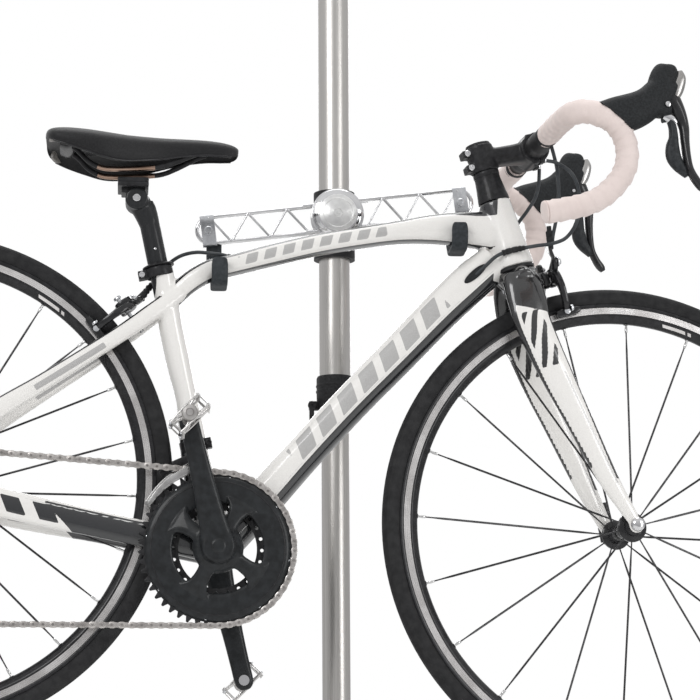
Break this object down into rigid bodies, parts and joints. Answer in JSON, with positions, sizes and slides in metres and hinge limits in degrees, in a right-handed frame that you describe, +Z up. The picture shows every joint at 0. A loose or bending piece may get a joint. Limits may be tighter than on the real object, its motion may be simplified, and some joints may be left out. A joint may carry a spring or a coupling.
{
  "type": "bicycle on stand",
  "caption": "Road bicycle with drop handlebar hung by its top tube on two hooks of a tension pole display stand.",
  "frame": {"origin": "on the pole's axis, at the face of the foot that presses on the floor", "axes": "+Z up the pole, +X towards the bicycle's front, -Y towards its drive side"},
  "size_m": [1.6131, 0.5295, 2.4],
  "materials": {
    "rubber_foot": "matt",
    "pole_aluminium": "satin anodised",
    "black_plastic": "satin",
    "chrome": "polished",
    "steel": "satin",
    "hook_rubber": "matt",
    "frame_paint": "gloss paint over carbon",
    "black_alloy": "satin anodised",
    "carbon": "satin carbon",
    "saddle_cover": "matt",
    "rails": "satin",
    "tape": "soft",
    "hood_rubber": "matt",
    "tyre": "matt",
    "chain_steel": "satin",
    "cable": "satin"
  },
  "bodies": {
    "base": {"floor_foot": "rubber_foot", "lower_tube": "pole_aluminium"},
    "mast": {"upper_tube": "pole_aluminium", "pole_collar": "black_plastic", "ceiling_jack": "black_plastic"},
    "collar_lever": {"collar_lever": "black_plastic"},
    "ceiling_foot": {"ceiling_foot": "rubber_foot"},
    "carriage": {"carriage": "black_plastic"},
    "cradle": {"hub": "chrome"},
    "knob": {"hub_cap": "steel"},
    "left_arm": {"left_arm": "steel", "left_bracket": "black_alloy", "left_hook": "hook_rubber"},
    "right_arm": {"right_arm": "steel", "right_bracket": "black_alloy", "right_hook": "hook_rubber"},
    "frame": {"frame": "frame_paint", "seat_clamp": "black_alloy", "rear_skewer": "steel", "rear_derailleur": "black_alloy", "rear_cables": "cable", "chain": "chain_steel"},
    "seatpost": {"seatpost": "black_alloy", "saddle": "saddle_cover", "saddle_rails": "rails"},
    "fork": {"fork": "carbon", "headset": "black_alloy", "stem": "black_alloy", "stem_faceplate": "black_alloy", "handlebar": "black_alloy", "bar_tape": "tape", "brake_hoods": "hood_rubber", "front_cables": "cable", "front_skewer": "steel"},
    "front_wheel": {"front_tyre": "tyre", "front_rim": "black_alloy", "front_spokes": "steel", "front_hub": "black_alloy"},
    "rear_wheel": {"rear_tyre": "tyre", "rear_rim": "black_alloy", "rear_spokes": "steel", "rear_hub": "black_alloy"},
    "cassette": {"cassette": "steel"},
    "crank": {"right_crank": "black_alloy", "left_crank": "black_alloy", "chainrings": "black_alloy"},
    "right_pedal": {"right_pedal": "steel"},
    "left_pedal": {"left_pedal": "steel"},
    "left_lever": {"left_lever": "black_alloy"},
    "right_lever": {"right_lever": "black_alloy"},
    "left_paddle": {"left_paddle": "black_plastic"},
    "right_paddle": {"right_paddle": "black_plastic"},
    "front_brake_left": {"front_brake_left": "black_alloy"},
    "front_brake_right": {"front_brake_right": "black_alloy"},
    "rear_brake_left": {"rear_brake_left": "black_alloy"},
    "rear_brake_right": {"rear_brake_right": "black_alloy"},
    "front_quick_lever": {"front_quick_lever": "black_alloy"},
    "rear_quick_lever": {"rear_quick_lever": "black_alloy"},
    "front_derailleur": {"front_derailleur": "black_alloy"},
    "derailleur_cage": {"derailleur_cage": "black_alloy"}
  },
  "joints": [
    {"name": "pole_height", "type": "slide", "parent": "base", "child": "mast", "axis": [0, 0, 1], "range_m": [-0.2, 0.25]},
    {"name": "collar_lever_turn", "type": "hinge", "parent": "mast", "child": "collar_lever", "pos_m": [-0.034, 0, 1.39], "axis": [0, 1, 0], "range_deg": [0, 100]},
    {"name": "ceiling_screw", "type": "slide", "parent": "mast", "child": "ceiling_foot", "axis": [0, 0, 1], "range_m": [-0.02, 0.02]},
    {"name": "carriage_slide", "type": "slide", "parent": "mast", "child": "carriage", "axis": [0, 0, 1], "range_m": [-0.16, 0.45]},
    {"name": "cradle_tilt", "type": "hinge", "parent": "carriage", "child": "cradle", "pos_m": [0, 0, 1.66], "axis": [0, 1, 0], "range_deg": [-6, 6]},
    {"name": "knob_turn", "type": "hinge", "parent": "cradle", "child": "knob", "pos_m": [0, -0.07, 1.66], "axis": [0, 1, 0], "range_deg": [0, 90]},
    {"name": "left_arm_slide", "type": "slide", "parent": "cradle", "child": "left_arm", "axis": [0.9925, 0, 0.1219], "range_m": [0, 0.02]},
    {"name": "right_arm_slide", "type": "slide", "parent": "cradle", "child": "right_arm", "axis": [-0.9925, 0, -0.1219], "range_m": [0, 0.02]},
    {"name": "bike_lift", "type": "slide", "parent": "cradle", "child": "frame", "axis": [0, 0, 1], "range_m": [0, 0.01]},
    {"name": "saddle_height", "type": "slide", "parent": "frame", "child": "seatpost", "axis": [-0.2028, 0, 0.9792], "range_m": [-0.025, 0.02]},
    {"name": "steering", "type": "hinge", "parent": "frame", "child": "fork", "pos_m": [0.22232, -0.25, 1.55505], "axis": [-0.2639, 0, 0.9646], "range_deg": [-45, 1], "deforming": ["rear_cables"]},
    {"name": "front_wheel_spin", "type": "hinge", "parent": "fork", "child": "front_wheel", "pos_m": [0.37082, -0.2435, 1.18098], "axis": [-0.1392, 0.9895, -0.0381], "continuous": true},
    {"name": "rear_wheel_spin", "type": "hinge", "parent": "frame", "child": "rear_wheel", "pos_m": [-0.57365, -0.25, 1.24386], "axis": [0, 1, 0], "continuous": true},
    {"name": "cassette_spin", "type": "hinge", "parent": "frame", "child": "cassette", "pos_m": [-0.57365, -0.25, 1.24386], "axis": [0, 1, 0], "continuous": true, "deforming": ["chain"]},
    {"name": "crank_spin", "type": "hinge", "parent": "frame", "child": "crank", "pos_m": [-0.179, -0.25, 1.15], "axis": [0, 1, 0], "continuous": true, "deforming": ["chain"]},
    {"name": "right_pedal_spin", "type": "hinge", "parent": "crank", "child": "right_pedal", "pos_m": [-0.21869, -0.35, 1.3153], "axis": [0, 1, 0], "continuous": true},
    {"name": "left_pedal_spin", "type": "hinge", "parent": "crank", "child": "left_pedal", "pos_m": [-0.13931, -0.15, 0.9847], "axis": [0, 1, 0], "continuous": true},
    {"name": "left_lever_pull", "type": "hinge", "parent": "fork", "child": "left_lever", "pos_m": [0.34804, -0.02028, 1.70763], "axis": [-0.1392, 0.9895, -0.0381], "range_deg": [0, 20], "stiffness_Nm_per_rad": 0.8, "springref_deg": -5.73},
    {"name": "left_paddle_push", "type": "hinge", "parent": "left_lever", "child": "left_paddle", "pos_m": [0.34966, -0.02071, 1.69045], "axis": [0.9545, 0.1444, 0.2611], "range_deg": [0, 12], "stiffness_Nm_per_rad": 0.2, "springref_deg": -5.73},
    {"name": "right_lever_pull", "type": "hinge", "parent": "fork", "child": "right_lever", "pos_m": [0.40485, -0.424, 1.72317], "axis": [-0.1392, 0.9895, -0.0381], "range_deg": [0, 20], "stiffness_Nm_per_rad": 0.8, "springref_deg": -5.73},
    {"name": "right_paddle_push", "type": "hinge", "parent": "right_lever", "child": "right_paddle", "pos_m": [0.40647, -0.42444, 1.70599], "axis": [0.9545, 0.1444, 0.2611], "range_deg": [-12, 0], "stiffness_Nm_per_rad": 0.2, "springref_deg": 5.73},
    {"name": "front_brake_left_squeeze", "type": "hinge", "parent": "fork", "child": "front_brake_left", "pos_m": [0.27661, -0.2435, 1.52532], "axis": [0.9545, 0.1444, 0.2611], "range_deg": [-2, 5]},
    {"name": "front_brake_right_squeeze", "type": "hinge", "parent": "fork", "child": "front_brake_right", "pos_m": [0.27661, -0.2435, 1.52532], "axis": [0.9545, 0.1444, 0.2611], "range_deg": [-5, 2], "deforming": ["front_cables"]},
    {"name": "rear_brake_left_squeeze", "type": "hinge", "parent": "frame", "child": "rear_brake_left", "pos_m": [-0.30493, -0.25, 1.4808], "axis": [-0.5962, 0, 0.8028], "range_deg": [-2, 5]},
    {"name": "rear_brake_right_squeeze", "type": "hinge", "parent": "frame", "child": "rear_brake_right", "pos_m": [-0.30493, -0.25, 1.4808], "axis": [-0.5962, 0, 0.8028], "range_deg": [-5, 2], "deforming": ["rear_cables"]},
    {"name": "front_quick_lever_flip", "type": "hinge", "parent": "fork", "child": "front_quick_lever", "pos_m": [0.36204, -0.18116, 1.17858], "axis": [-0.9738, -0.1438, -0.176], "range_deg": [0, 165]},
    {"name": "rear_quick_lever_flip", "type": "hinge", "parent": "frame", "child": "rear_quick_lever", "pos_m": [-0.57365, -0.172, 1.24386], "axis": [-0.5906, 0, 0.807], "range_deg": [0, 165]},
    {"name": "front_derailleur_shift", "type": "slide", "parent": "frame", "child": "front_derailleur", "axis": [0, 1, 0], "range_m": [0, 0.007], "deforming": ["chain"]},
    {"name": "derailleur_cage_swing", "type": "hinge", "parent": "frame", "child": "derailleur_cage", "pos_m": [-0.57064, -0.292, 1.1685], "axis": [0, 1, 0], "range_deg": [-12, 30], "stiffness_Nm_per_rad": 0.8, "deforming": ["chain"]}
  ],
  "couplings": [
    {"joint": "cassette_spin", "follows": "crank_spin", "ratio": 2.5},
    {"joint": "front_brake_left_squeeze", "follows": "left_lever_pull", "ratio": -0.09},
    {"joint": "front_brake_right_squeeze", "follows": "left_lever_pull", "ratio": 0.09},
    {"joint": "rear_brake_left_squeeze", "follows": "right_lever_pull", "ratio": -0.09},
    {"joint": "rear_brake_right_squeeze", "follows": "right_lever_pull", "ratio": 0.09}
  ]
}
